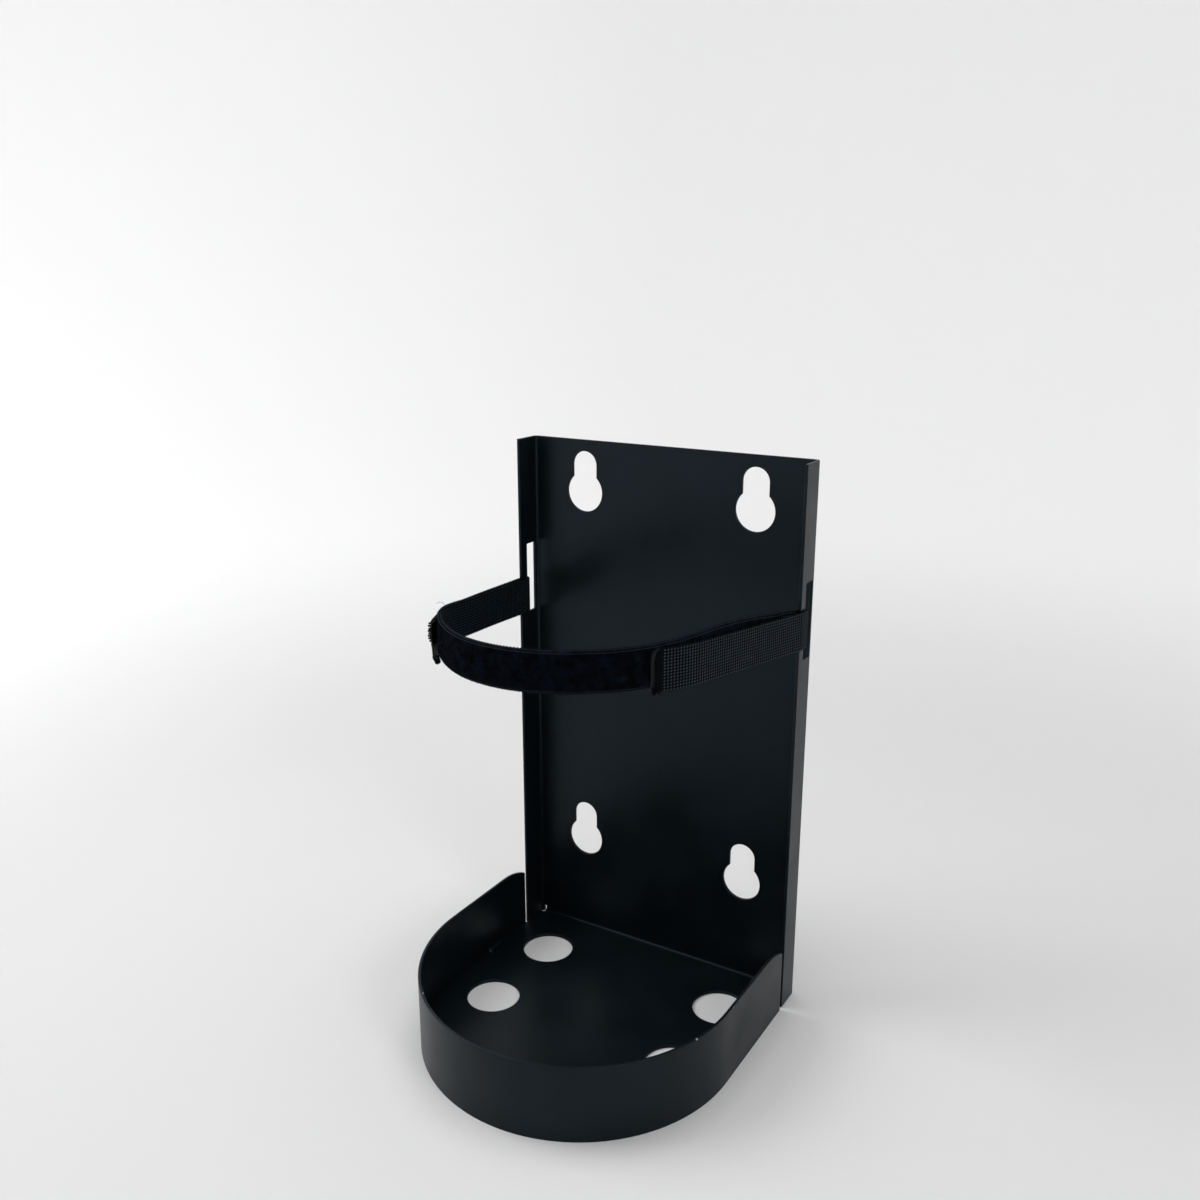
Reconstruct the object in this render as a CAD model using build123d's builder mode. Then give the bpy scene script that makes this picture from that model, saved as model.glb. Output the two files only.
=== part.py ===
from build123d import *
import math
import os

# A wall or floor bracket for one small gas cylinder: a folded steel body with a
# round-fronted tray, and a hook-and-loop strap threaded through its side flanges.
# Millimetres. Z is up, +Y points to the wall, and the origin lies on the
# cylinder's axis, level with the underside of the tray.

# ---- driving dimensions -------------------------------------------------------
sheet = 1.6  # thickness of the steel sheet
bend_radius = 1.5  # inside radius of every fold
edge_round = 0.35  # rounding that the powder coat leaves on a long cut edge
edge_break = 0.3  # bevel at the rims of the holes

body_width = 176.0  # over the two side flanges
back_height = 311.0  # from the tray's underside to the top of the back
flange_depth = 18.5  # from the rear face to a flange's front edge
flange_foot = 0.5  # a flange's lower end above the tray's underside
axis_to_wall = 88.0  # from the cylinder's axis to the rear face
tray_axis_forward = 4.0  # the tray's round front is centred this far before the axis

wall_height = 42.0  # height of the tray's wall
wall_corner_start = 20.0  # length of the curved drop at each rear end of the wall
wall_corner_radius = 40.0  # radius of that drop
seam_gap = 2.6  # from the wall's rear end to the flange

fold_relief = 1.5  # width of the notch at each end of the bottom fold
corner_gap = 0.5  # from the floor's side to a flange
floor_fit = 0.1  # from the floor's edge to the wall

keyhole_head = 23.0  # diameter of a keyhole's round entry
keyhole_neck = 15.5  # width of a keyhole's neck
keyhole_rise = 15.7  # from the entry's centre up to the neck's round end
keyhole_pitch_x = 106.0
keyhole_low = 62.0  # height of the lower entries
keyhole_high = 30.0  # from the upper entries to the top of the back

strap_slot_width = 8.5
strap_slot_height = 41.5
strap_slot_foot = 207.0  # height of a strap slot's lower end
strap_bar = 6.0  # metal left between a strap slot and the flange's front edge
strap_slot_corner = 0.8

floor_hole = 30.0  # diameter of the tray's holes
floor_hole_pitch_x = 116.0
floor_hole_pitch_y = 57.0
floor_hole_rear = 50.0  # rear pair of holes, behind the axis

weld_leg = 2.6  # leg of a fillet weld
weld_length = 16.0  # length of one stitch
weld_spread = 48.0  # degrees between the stitches of the round front
weld_rear = 42.0  # rear pair of stitches, behind the axis

cylinder_diameter = 140.0  # the cylinder that the strap is closed on
strap_clearance = 0.3  # from the strap to the cylinder and to the flange
strap_width = 20.5
webbing_thick = 1.2
loop_thick = 1.5
hook_thick = 1.0
tape_inset = 0.4  # webbing left bare along each edge of a tape

strap_front_level = 232.3  # height of the strap's middle at the cylinder's front
fold_level_right = 224.4  # height of its middle in the right slot
fold_level_left = 218.0
lap_end_right = 32.7  # degrees that the right lap runs forward of the X axis
lap_end_left = 22.0  # degrees that the left lap hugs the strap, before its free end
lap_front_right = 232.1  # height that a lap's middle aims at, at the cylinder's front
lap_front_left = 226.0

# heights of the strap's middle at shares of the way from the cylinder's front to a fold
layer_right = ((0.40, 233.3), (0.72, 230.6))
layer_left = ((0.10, 233.6), (0.26, 230.6), (0.65, 223.6))
bow_right = ((0.50, 229.0),)
bow_left = ((0.40, 225.0),)

lap_corner_top = 3.6  # rounding of a lap's upper corner
lap_corner_low = 1.2  # rounding of its lower corner
free_end = 19.0  # length of the left lap's end that has lifted
free_end_radius = 260.0
loop_stop = 14.0  # loop tape ends this far before a flange's bar
hook_length = 34.0  # straight length of a hook tape
hook_peek = 1.4  # hook tape that shows past the webbing's end

# ---- places worked out from them ----------------------------------------------
half_width = body_width / 2
inner_half = half_width - sheet
rear = axis_to_wall
flange_front = rear - flange_depth
bend_outer = bend_radius + sheet
bend_middle = bend_radius + sheet / 2
fold_half = half_width - bend_outer - fold_relief
fold_top = bend_outer + fold_relief
tray_centre_y = -tray_axis_forward
wall_end = flange_front - seam_gap
floor_half = inner_half - floor_fit
slot_front = flange_front + strap_bar
keyhole_pitch_z = back_height - keyhole_low - keyhole_high

cylinder_radius = cylinder_diameter / 2
wrap_radius = cylinder_radius + strap_clearance + webbing_thick / 2
lap_radius = wrap_radius + webbing_thick + loop_thick + hook_thick
fold_radius = (sheet + webbing_thick) / 2 + strap_clearance
fold_x = half_width - sheet / 2
fold_y = slot_front - fold_radius / 4
bar_radius = strap_clearance + webbing_thick / 2
fold_start = flange_front + strap_bar / 4


def tangent_angle(centre, span):
    """Polar angle of the line that passes `span` from the axis on its way to `centre`."""
    return math.atan2(centre[1], centre[0]) - math.acos(span / math.hypot(*centre))


def along(angle, span, run):
    """Point on the line that touches a circle of radius `span`, `run` past the touch."""
    x = span * math.cos(angle) - run * math.sin(angle)
    y = span * math.sin(angle) + run * math.cos(angle)
    return (x, y)


def on_level(edges, axis, place):
    """Those of the edges that lie at one place along an axis."""
    return edges.filter_by_position(axis, place - 0.01, place + 0.01)


wrap_angle = tangent_angle((fold_x, fold_y), wrap_radius + fold_radius)
wrap_run = fold_y * math.cos(wrap_angle) - fold_x * math.sin(wrap_angle)
lap_angle = tangent_angle((half_width, flange_front), lap_radius - bar_radius)
lap_run = flange_front * math.cos(lap_angle) - half_width * math.sin(lap_angle)


# ---- folded body: back plate, two flanges and the tray's floor ----------------
with BuildPart() as folded_body:
    # back plate and flanges, folded from one strip
    with BuildSketch(Plane.XY.offset(flange_foot)):
        with BuildLine():
            FilletPolyline(
                (-fold_x, flange_front),
                (-fold_x, rear - sheet / 2),
                (fold_x, rear - sheet / 2),
                (fold_x, flange_front),
                radius=bend_middle,
            )
        trace(line_width=sheet)
    extrude(amount=back_height - flange_foot)
    top_edges = folded_body.edges().group_by(Axis.Z)[-1].filter_by(lambda e: e.length > 2 * sheet)
    front_edges = folded_body.edges().filter_by(Axis.Z).group_by(Axis.Y)[0]
    fillet(top_edges + front_edges, edge_round)

    # room for the bottom fold and its two reliefs
    with BuildSketch(Plane.XZ.offset(-rear)):
        with Locations((0, fold_top / 2)):
            Rectangle(2 * (fold_half + fold_relief), fold_top)
    extrude(amount=bend_outer, mode=Mode.SUBTRACT)

    # bottom fold, from the back plate into the floor
    with BuildSketch(Plane.YZ):
        with BuildLine():
            FilletPolyline(
                (rear - 2 * bend_outer, sheet / 2),
                (rear - sheet / 2, sheet / 2),
                (rear - sheet / 2, fold_top),
                radius=bend_middle,
            )
        trace(line_width=sheet)
    extrude(amount=fold_half, both=True)

    # floor: round in front, straight along the flanges
    with BuildSketch():
        with Locations((0, tray_centre_y)):
            Circle(floor_half)
        with Locations((0, (tray_centre_y + wall_end) / 2)):
            Rectangle(2 * floor_half, wall_end - tray_centre_y)
        neck_end = rear - bend_outer - fold_relief
        with Locations((0, neck_end / 2)):
            Rectangle(2 * (inner_half - corner_gap), neck_end)
    extrude(amount=sheet)

    # two pairs of holes in the floor and one in front
    with BuildSketch():
        with Locations((0, floor_hole_rear - floor_hole_pitch_y / 2)):
            with GridLocations(floor_hole_pitch_x, floor_hole_pitch_y, 2, 2):
                Circle(floor_hole / 2)
        with Locations((0, floor_hole_rear - 2 * floor_hole_pitch_y)):
            Circle(floor_hole / 2)
    extrude(amount=sheet, mode=Mode.SUBTRACT)
    chamfer(on_level(folded_body.edges(Select.LAST), Axis.Z, sheet), edge_break)

    # four keyholes through the back plate, necks upward
    with BuildSketch(Plane.XZ.offset(-rear)):
        with Locations((0, keyhole_low + keyhole_pitch_z / 2)):
            with GridLocations(keyhole_pitch_x, keyhole_pitch_z, 2, 2):
                Circle(keyhole_head / 2)
                SlotCenterPoint((0, keyhole_rise / 2), (0, keyhole_rise), keyhole_neck)
    extrude(amount=bend_outer, mode=Mode.SUBTRACT)
    chamfer(on_level(folded_body.edges(Select.LAST), Axis.Y, rear - sheet), edge_break)

    # one strap slot through each flange
    with BuildSketch(Plane.YZ) as strap_slot:
        slot_middle = (slot_front + strap_slot_width / 2, strap_slot_foot + strap_slot_height / 2)
        with Locations(slot_middle):
            Rectangle(strap_slot_width, strap_slot_height)
        fillet(strap_slot.vertices(), strap_slot_corner)
    extrude(amount=body_width, both=True, mode=Mode.SUBTRACT)

    slot_edges = folded_body.edges(Select.LAST)
    for flange_face in (-half_width, half_width):
        chamfer(on_level(slot_edges, Axis.X, flange_face), edge_break)

# ---- tray wall: a strip rolled into a U round the floor -----------------------
with BuildPart() as tray_wall:
    with BuildSketch():
        with BuildLine():
            Line((-half_width + sheet / 2, wall_end), (-half_width + sheet / 2, tray_centre_y))
            CenterArc((0, tray_centre_y), half_width - sheet / 2, 180, 180)
            Line((half_width - sheet / 2, tray_centre_y), (half_width - sheet / 2, wall_end))
        trace(line_width=sheet)
    extrude(amount=wall_height)

    # rear top corners, cut down in a curve
    drop = wall_corner_radius - math.sqrt(wall_corner_radius**2 - wall_corner_start**2)
    drop_top = wall_end - wall_corner_start
    with BuildSketch(Plane.YZ):
        with BuildLine():
            RadiusArc((drop_top, wall_height), (wall_end, wall_height - drop), wall_corner_radius)
            Line((wall_end, wall_height - drop), (wall_end, wall_height))
            Line((wall_end, wall_height), (drop_top, wall_height))
        make_face()
    extrude(amount=body_width, both=True, mode=Mode.SUBTRACT)

    upper = tray_wall.edges().filter_by(lambda e: e.center().Z > wall_height - drop)
    fillet(upper.filter_by(lambda e: e.length > 2 * sheet), edge_round)


# ---- weld beads: stitches in the corner of floor and wall ---------------------
with BuildPart() as weld_beads:
    for step in range(-1, 2):
        heading = -90 + step * weld_spread
        sweep_angle = math.degrees(weld_length / floor_half)
        bead_plane = Plane(
            origin=(0, tray_centre_y, sheet),
            x_dir=(math.cos(math.radians(heading)), math.sin(math.radians(heading)), 0),
            z_dir=(math.sin(math.radians(heading)), -math.cos(math.radians(heading)), 0),
        )
        with BuildSketch(bead_plane):
            with BuildLine():
                Line((inner_half, 0), (inner_half, weld_leg))
                RadiusArc((inner_half, weld_leg), (inner_half - weld_leg, 0), -2 * weld_leg)
                Line((inner_half - weld_leg, 0), (inner_half, 0))
            make_face()
        revolve(axis=Axis((0, tray_centre_y, 0), (0, 0, 1)), revolution_arc=sweep_angle)
    for side in (-1, 1):
        with BuildSketch(Plane.XZ.offset(-weld_rear)):
            with BuildLine():
                Line((side * inner_half, sheet), (side * inner_half, sheet + weld_leg))
                RadiusArc(
                    (side * inner_half, sheet + weld_leg),
                    (side * (inner_half - weld_leg), sheet),
                    -2 * side * weld_leg,
                )
                Line((side * (inner_half - weld_leg), sheet), (side * inner_half, sheet))
            make_face()
        extrude(amount=weld_length)


# ---- strap --------------------------------------------------------------------
def side_profile(height, front_level, stations, fold_level):
    """Band seen from the side: level in front, curved through the stations, level in the slot."""
    front = -cylinder_radius
    far_front = -lap_radius - free_end
    span = fold_start - front
    middle = [(front, front_level)]
    middle += [(front + share * span, level) for share, level in stations]
    middle += [(fold_start, fold_level)]
    slope = (middle[-1][1] - middle[-2][1]) / (middle[-1][0] - middle[-2][0])
    with BuildSketch(Plane.YZ) as band:
        with BuildLine():
            for half in (-height / 2, height / 2):
                edge = [(y, z + half) for y, z in middle]
                Line((far_front, front_level + half), edge[0])
                Spline(edge, tangents=[(1, 0), (1, slope)])
                Line(edge[-1], (rear, fold_level + half))
            Line((far_front, front_level - height / 2), (far_front, front_level + height / 2))
            Line((rear, fold_level - height / 2), (rear, fold_level + height / 2))
        make_face()
    return band.sketch


def wrap_path(radius, run):
    """Line round the right half of the cylinder at this radius, and straight on towards the flange."""
    with BuildLine() as path:
        CenterArc((0, 0), radius, -90, 90 + math.degrees(wrap_angle))
        Line(along(wrap_angle, radius, 0), along(wrap_angle, radius, run))
    return path.line


def lap_path(radius, end_degrees, lift, fold):
    """Line of the right lap at this radius, from its straight run (or the fold) to its end."""
    start = math.degrees(lap_angle)
    heading = math.radians(-end_degrees)
    spread = free_end_radius - lap_radius
    with BuildLine() as path:
        if fold:
            turn = 180 + math.degrees(wrap_angle)
            CenterArc((fold_x, fold_y), fold_radius, turn, -turn)
            Line((fold_x + fold_radius, fold_y), (half_width + bar_radius, flange_front))
            CenterArc((half_width, flange_front), bar_radius, 0, start)
            Line(along(lap_angle, radius, lap_run), along(lap_angle, radius, 0))
        else:
            Line(along(lap_angle, radius, hook_length), along(lap_angle, radius, 0))
        CenterArc((0, 0), radius, start, -end_degrees - start)
        if lift > 0:
            centre = (-spread * math.cos(heading), -spread * math.sin(heading))
            CenterArc(centre, spread + radius, -end_degrees, -math.degrees(lift / (spread + radius)))
    return path.line


def ribbon(path, thickness, profile, lapped=False):
    """Upright ribbon along a line, cut to a side profile. A lapped one has a rounded end."""
    with BuildPart() as piece:
        with BuildSketch():
            trace(path, thickness)
        extrude(amount=back_height)
        extrude(profile, body_width, both=True, mode=Mode.INTERSECT)
        if lapped:
            for beyond, radius in ((0, lap_corner_low), (back_height, lap_corner_top)):
                across = piece.edges().filter_by(lambda e: e.length < 1.5 * thickness)
                fillet(across.sort_by_distance((path @ 1) + (0, 0, beyond))[0], radius)
    return piece.part


def left(piece):
    """The same ribbon on the left side."""
    return mirror(piece, about=Plane.YZ, mode=Mode.PRIVATE)


peek_degrees = math.degrees(hook_peek / lap_radius)
tape_width = strap_width - 2 * tape_inset
loop_radius = wrap_radius + (webbing_thick + loop_thick) / 2
loop_run = wrap_run - strap_bar - loop_stop
hook_radius = lap_radius - (webbing_thick + hook_thick) / 2

# webbing: round the cylinder, out through both slots and back over the flanges
with BuildPart() as strap_webbing:
    wrap = wrap_path(wrap_radius, wrap_run)
    profile = side_profile(strap_width, strap_front_level, layer_right, fold_level_right)
    add(ribbon(wrap, webbing_thick, profile))
    profile = side_profile(strap_width, strap_front_level, layer_left, fold_level_left)
    add(left(ribbon(wrap, webbing_thick, profile)))
    lap = lap_path(lap_radius, lap_end_right, 0, fold=True)
    profile = side_profile(strap_width, lap_front_right, bow_right, fold_level_right)
    add(ribbon(lap, webbing_thick, profile, lapped=True))
    lap = lap_path(lap_radius, lap_end_left, free_end, fold=True)
    profile = side_profile(strap_width, lap_front_left, bow_left, fold_level_left)
    add(left(ribbon(lap, webbing_thick, profile, lapped=True)))

# loop tape: sewn on the first layer, soft side out
with BuildPart() as loop_tape:
    wrap = wrap_path(loop_radius, loop_run)
    profile = side_profile(tape_width, strap_front_level, layer_right, fold_level_right)
    add(ribbon(wrap, loop_thick, profile))
    profile = side_profile(tape_width, strap_front_level, layer_left, fold_level_left)
    add(left(ribbon(wrap, loop_thick, profile)))

# hook tapes: sewn inside the two laps, hooks on the loops
with BuildPart() as hook_tape_right:
    lap = lap_path(hook_radius, lap_end_right + peek_degrees, 0, fold=False)
    profile = side_profile(tape_width, lap_front_right, bow_right, fold_level_right)
    add(ribbon(lap, hook_thick, profile, lapped=True))

with BuildPart() as hook_tape_left:
    lap = lap_path(hook_radius, lap_end_left, free_end + hook_peek, fold=False)
    profile = side_profile(tape_width, lap_front_left, bow_left, fold_level_left)
    add(left(ribbon(lap, hook_thick, profile, lapped=True)))

pieces = {
    "folded_body": folded_body,
    "tray_wall": tray_wall,
    "weld_beads": weld_beads,
    "strap_webbing": strap_webbing,
    "loop_tape": loop_tape,
    "hook_tape_right": hook_tape_right,
    "hook_tape_left": hook_tape_left,
}
os.makedirs("parts", exist_ok=True)
for name, piece in pieces.items():
    piece.part.label = name
    export_step(piece.part, f"parts/{name}.step")
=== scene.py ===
# %% [markdown]
# # A gas cylinder bracket
# This lesson dresses a small wall or floor bracket for one gas cylinder. The real object is
# a folded and powder-coated steel sheet with a round-fronted tray, and a black nylon
# hook-and-loop strap that is threaded through two slots in its flanges.
# The CAD model is loaded first, as a fixed frame that every new piece is fitted to.

# %% Load the CAD frame
import math

import bpy
import numpy as np
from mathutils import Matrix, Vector


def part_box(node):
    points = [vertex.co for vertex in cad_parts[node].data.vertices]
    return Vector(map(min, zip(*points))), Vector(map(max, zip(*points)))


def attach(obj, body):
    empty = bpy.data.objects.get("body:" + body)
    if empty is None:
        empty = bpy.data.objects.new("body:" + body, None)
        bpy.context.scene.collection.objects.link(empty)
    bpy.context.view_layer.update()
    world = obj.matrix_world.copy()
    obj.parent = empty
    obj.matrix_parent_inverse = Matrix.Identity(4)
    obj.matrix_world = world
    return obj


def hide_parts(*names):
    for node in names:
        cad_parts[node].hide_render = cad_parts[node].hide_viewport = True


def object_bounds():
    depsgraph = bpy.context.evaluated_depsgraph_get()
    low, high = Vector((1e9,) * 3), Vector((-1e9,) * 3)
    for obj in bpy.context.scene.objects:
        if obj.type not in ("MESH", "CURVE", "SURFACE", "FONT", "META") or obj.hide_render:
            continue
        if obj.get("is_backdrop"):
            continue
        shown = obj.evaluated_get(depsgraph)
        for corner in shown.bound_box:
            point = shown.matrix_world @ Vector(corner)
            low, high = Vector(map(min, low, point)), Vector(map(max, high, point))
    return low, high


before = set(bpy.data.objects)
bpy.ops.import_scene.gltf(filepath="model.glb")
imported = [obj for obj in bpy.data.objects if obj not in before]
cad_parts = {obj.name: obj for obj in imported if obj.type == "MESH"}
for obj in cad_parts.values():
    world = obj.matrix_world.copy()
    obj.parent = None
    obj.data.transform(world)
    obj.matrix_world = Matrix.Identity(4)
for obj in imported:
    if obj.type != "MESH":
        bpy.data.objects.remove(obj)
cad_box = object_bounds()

for name in sorted(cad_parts):
    low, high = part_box(name)
    print(name, "size in mm:", [round((b - a) * 1000, 1) for a, b in zip(low, high)])

# %% [markdown]
# ## Helpers for colours, nodes and meshes
# Colours are written as people write them, in sRGB hex, and one function turns them to the
# linear values that a shader works in. One more function adds a shader node with its
# settings and links. Meshes are worked out in millimetres as arrays of points, which is the
# simplest way to make woven things, because their every thread follows a formula.

# %% Colours, nodes and meshes
MM = 0.001


def linear(hex_colour):
    """'#rrggbb' in sRGB as linear red, green, blue and alpha."""
    parts = [int(hex_colour[i : i + 2], 16) / 255 for i in (1, 3, 5)]
    curve = [p / 12.92 if p <= 0.04045 else ((p + 0.055) / 1.055) ** 2.4 for p in parts]
    return (*curve, 1.0)


def add_node(tree, kind, settings=None, links=None):
    """A new node. A setting is a property or a socket's value, and a link feeds a socket."""
    node = tree.nodes.new("ShaderNode" + kind)
    for key, value in (settings or {}).items():
        if isinstance(key, str) and hasattr(node, key):
            setattr(node, key, value)
        else:
            node.inputs[key].default_value = value
    for key, source in (links or {}).items():
        tree.links.new(source, node.inputs[key])
    return node


def wire(tree, shader, **sources):
    """Feed sockets of a shader. A socket's name is written with _ for a space."""
    for key, source in sources.items():
        tree.links.new(source, shader.inputs[key.replace("_", " ")])


def new_material(name, **shader_values):
    """A material with one Principled shader. It returns its node tree and object space too."""
    material = bpy.data.materials.new(name)
    material.use_nodes = True
    tree = material.node_tree
    tree.nodes.clear()
    values = {key.replace("_", " "): value for key, value in shader_values.items()}
    shader = add_node(tree, "BsdfPrincipled", values)
    add_node(tree, "OutputMaterial", {}, {"Surface": shader.outputs["BSDF"]})
    return material, tree, shader, add_node(tree, "TexCoord").outputs["Object"]


def new_piece(name, points, faces, material, slot, attributes=None):
    """A mesh object from points in millimetres, which rides on the bracket's one body."""
    mesh = bpy.data.meshes.new(name)
    mesh.from_pydata((np.asarray(points) * MM).tolist(), [], faces)
    for key, values in (attributes or {}).items():
        layer = mesh.attributes.new(key, "FLOAT", "POINT")
        layer.data.foreach_set("value", np.asarray(values, np.float32).ravel())
    mesh.shade_smooth()
    mesh.materials.append(material)
    mesh.validate()
    piece = bpy.data.objects.new(name, mesh)
    bpy.context.scene.collection.objects.link(piece)
    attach(piece, "root")
    triangles = sum(len(p.vertices) - 2 for p in mesh.polygons)
    print(name, len(mesh.vertices), "points,", triangles, "triangles")
    return piece


print("white is", linear("#ffffff")[0])

# %% [markdown]
# ## Powder coat
# The steel is degreased, sprayed with dry black polyester powder and baked, and the powder
# melts into one skin. The eye reads three things: a satin black with a faint cool cast, the
# soft ripple called orange peel, about 1.5 mm from crest to crest, and a fine grain from
# the powder. Cut edges are rounded by the skin and catch a thin line of light. Where the
# tray has been knocked, small chips show the grey steel under it.

# %% Powder coat material
HANDLING = 34.0  # mm, patches that handling has left a little duller
powder_coat, tree, shader, spot = new_material(
    "black_powder_coat", Roughness=0.34, IOR=1.5, Specular_IOR_Level=0.2,
    Specular_Tint=linear("#c9e0f2")
)
patches = add_node(tree, "TexNoise", {"Scale": 1000 / HANDLING, "Detail": 3.0}, {"Vector": spot})
duller = add_node(
    tree, "MapRange", {"From Min": 0.35, "From Max": 0.7, "To Min": 0.30, "To Max": 0.41},
    {"Value": patches.outputs["Fac"]}
)
tone = add_node(
    tree, "Mix", {"data_type": "RGBA", 6: linear("#050a0d"), 7: linear("#0c1419")},
    {"Factor": patches.outputs["Fac"]}
)
print("satin black, duller in patches of", HANDLING, "mm")

# %% [markdown]
# ## Chips
# A knock takes the coat off in a small flake. The flakes are rare cells of a Voronoi
# pattern, and three masks keep them on the top of the tray's wall, where a cylinder's foot
# strikes it. Painted chips would need an unwrapped mesh, and the pattern doesn't.

# %% Chips in the powder coat
CHIP = 2.2  # mm, the spacing of possible chips on the tray's rim
CHIP_LEVELS = (41.3, 42.3)  # mm, heights that chips lie between
CHIP_BEHIND = 40.0  # mm, chips are in front of this depth only
SOUND = 0.972  # share of the cells that have kept their coat
FLAKE = 0.30  # radius of a flake as a share of the spacing
cells = add_node(tree, "TexVoronoi", {"Scale": 1000 / CHIP, "Randomness": 1.0}, {"Vector": spot})
rare = add_node(tree, "SeparateColor", {}, {"Color": cells.outputs["Color"]})
position = add_node(tree, "SeparateXYZ", {}, {"Vector": spot})
masks = (
    ("GREATER_THAN", SOUND, rare.outputs["Red"]),
    ("LESS_THAN", FLAKE, cells.outputs["Distance"]),
    ("GREATER_THAN", CHIP_LEVELS[0] * MM, position.outputs["Z"]),
    ("LESS_THAN", CHIP_LEVELS[1] * MM, position.outputs["Z"]),
    ("LESS_THAN", CHIP_BEHIND * MM, position.outputs["Y"]),
)
chip = None
for operation, limit, value in masks:
    mask = add_node(tree, "Math", {"operation": operation, 1: limit}, {0: value})
    if chip:
        mask = add_node(
            tree, "Math", {"operation": "MULTIPLY"}, {0: chip.outputs[0], 1: mask.outputs[0]}
        )
    chip = mask
worn = add_node(
    tree, "Mix", {"data_type": "RGBA", 7: linear("#8b8f90")},
    {"Factor": chip.outputs[0], 6: tone.outputs[2]}
)
print("chips between", CHIP_LEVELS, "mm above the ground")

# %% [markdown]
# ## Ripple, grain and rounded edges
# Two bumps of different size give the coat its ripple and its grain. A bevel in the shader
# rounds every edge by the thickness of the molten skin, because the CAD mesh itself has to
# stay as it is.

# %% Ripple and edges in the powder coat
ORANGE_PEEL = 1.5  # mm from crest to crest
POWDER_GRAIN = 0.45  # mm; the real grain is near 0.1, drawn coarser so that it shows
EDGE_SKIN = 0.6  # mm, radius that the molten powder gives a cut edge
PEEL_DEPTH, GRAIN_DEPTH = 0.06, 0.02  # mm
ripple = add_node(tree, "TexNoise", {"Scale": 1000 / ORANGE_PEEL, "Detail": 1.0}, {"Vector": spot})
grain = add_node(tree, "TexNoise", {"Scale": 1000 / POWDER_GRAIN, "Detail": 2.0}, {"Vector": spot})
rounded = add_node(tree, "Bevel", {"samples": 6, "Radius": EDGE_SKIN * MM})
rippled = add_node(
    tree, "Bump", {"Strength": 0.55, "Distance": PEEL_DEPTH * MM},
    {"Height": ripple.outputs["Fac"], "Normal": rounded.outputs["Normal"]}
)
grained = add_node(
    tree, "Bump", {"Strength": 0.5, "Distance": GRAIN_DEPTH * MM},
    {"Height": grain.outputs["Fac"], "Normal": rippled.outputs["Normal"]}
)
wire(
    tree,
    shader,
    Base_Color=worn.outputs[2],
    Roughness=duller.outputs["Result"],
    Normal=grained.outputs["Normal"],
)

for name in ("folded_body", "tray_wall"):
    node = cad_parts[name]
    node.data.materials.clear()
    node.data.materials.append(powder_coat)
    print("powder coat on", name)

# %% [markdown]
# ## Weld stitches
# The tray's floor and wall are joined by short stitch welds in the corner between them. A
# welder's bead is a row of overlapping puddles, each frozen as a curved ripple. The CAD
# solid is a plain fillet, so it is replaced by a swept bead whose face swells and sinks
# along its run. A swept ring of points gives the ripples real depth, which a bump would not.

# %% One weld bead
WELD_LEG, WELD_LENGTH = 2.6, 16.0  # mm
PUDDLE = 1.5  # mm between ripples
LAG = 0.9  # mm that a ripple trails at the toes of the bead, curved like a crescent
LEANEST, SWELL = 0.93, 0.09  # a ripple's leg where it starts, and what it gains, in legs
CROWN, HOLLOW = 0.13, 0.28  # how the bead's face stands out and falls in, in legs
ROOT = 0.15  # mm that the bead is sunk in the corner
BEAD_STEPS, BEAD_SIDES = 96, 8
BLUNT, TIP = 8, 0.02  # how squarely a bead ends, and what is left at its very end


def weld_bead(corner_point, inward):
    """Points and faces of one bead. Both arguments are functions of distance along it."""
    run = np.linspace(0, WELD_LENGTH, BEAD_STEPS)
    taper = np.sqrt(np.clip(1 - (2 * run / WELD_LENGTH - 1) ** BLUNT, TIP, 1))
    angle = np.linspace(0, math.pi / 2, BEAD_SIDES)
    points = []
    for distance, size in zip(run, taper):
        lag = LAG * np.cos(2 * angle) ** 2
        phase = ((distance + lag) / PUDDLE) % 1.0
        leg = WELD_LEG * size * (LEANEST + SWELL * np.sqrt(phase))
        bulge = 1 + CROWN * np.sin(2 * angle) - HOLLOW * np.abs(np.sin(2 * angle))
        corner, side = corner_point(distance), inward(distance)
        points.append(corner - ROOT * side - np.array([0, 0, ROOT]))
        for a, l, b in zip(angle, leg, bulge):
            up = np.array([0, 0, l * b * math.sin(a)])
            points.append(corner + side * l * b * math.cos(a) + up)
    sides = BEAD_SIDES + 1
    faces = []
    for i in range(0, (BEAD_STEPS - 1) * sides, sides):
        for j in range(sides):
            next_j = (j + 1) % sides
            faces.append((i + j, i + next_j, i + sides + next_j, i + sides + j))
    faces += [tuple(range(sides))[::-1], tuple(range(len(points) - sides, len(points)))]
    return points, faces


print("a bead has", round(WELD_LENGTH / PUDDLE), "ripples")

# %% Five beads round the floor
SHEET = 1.6  # mm, the floor's top is this high
TRAY_CENTRE_Y = -4.0  # mm, where the wall's round front has its centre
WALL_INSIDE = 86.4  # mm, radius of the wall's inner face, and its distance from the YZ plane
WELD_SPREAD = 48.0  # degrees between the three beads at the front
WELD_REAR = 42.0  # mm, where the two beads at the sides start


def bead_on_arc(first):
    """A bead that starts at an angle on the wall's round front."""

    def corner_point(distance):
        angle = first + distance / WALL_INSIDE
        x, y = WALL_INSIDE * math.cos(angle), TRAY_CENTRE_Y + WALL_INSIDE * math.sin(angle)
        return np.array([x, y, SHEET])

    def inward(distance):
        angle = first + distance / WALL_INSIDE
        return np.array([-math.cos(angle), -math.sin(angle), 0])

    return weld_bead(corner_point, inward)


def bead_on_side(side):
    """A bead along the wall's straight part, on the left for -1 and on the right for 1."""
    return weld_bead(
        lambda distance: np.array([side * WALL_INSIDE, WELD_REAR - distance, SHEET]),
        lambda distance: np.array([-side, 0, 0]),
    )


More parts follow.
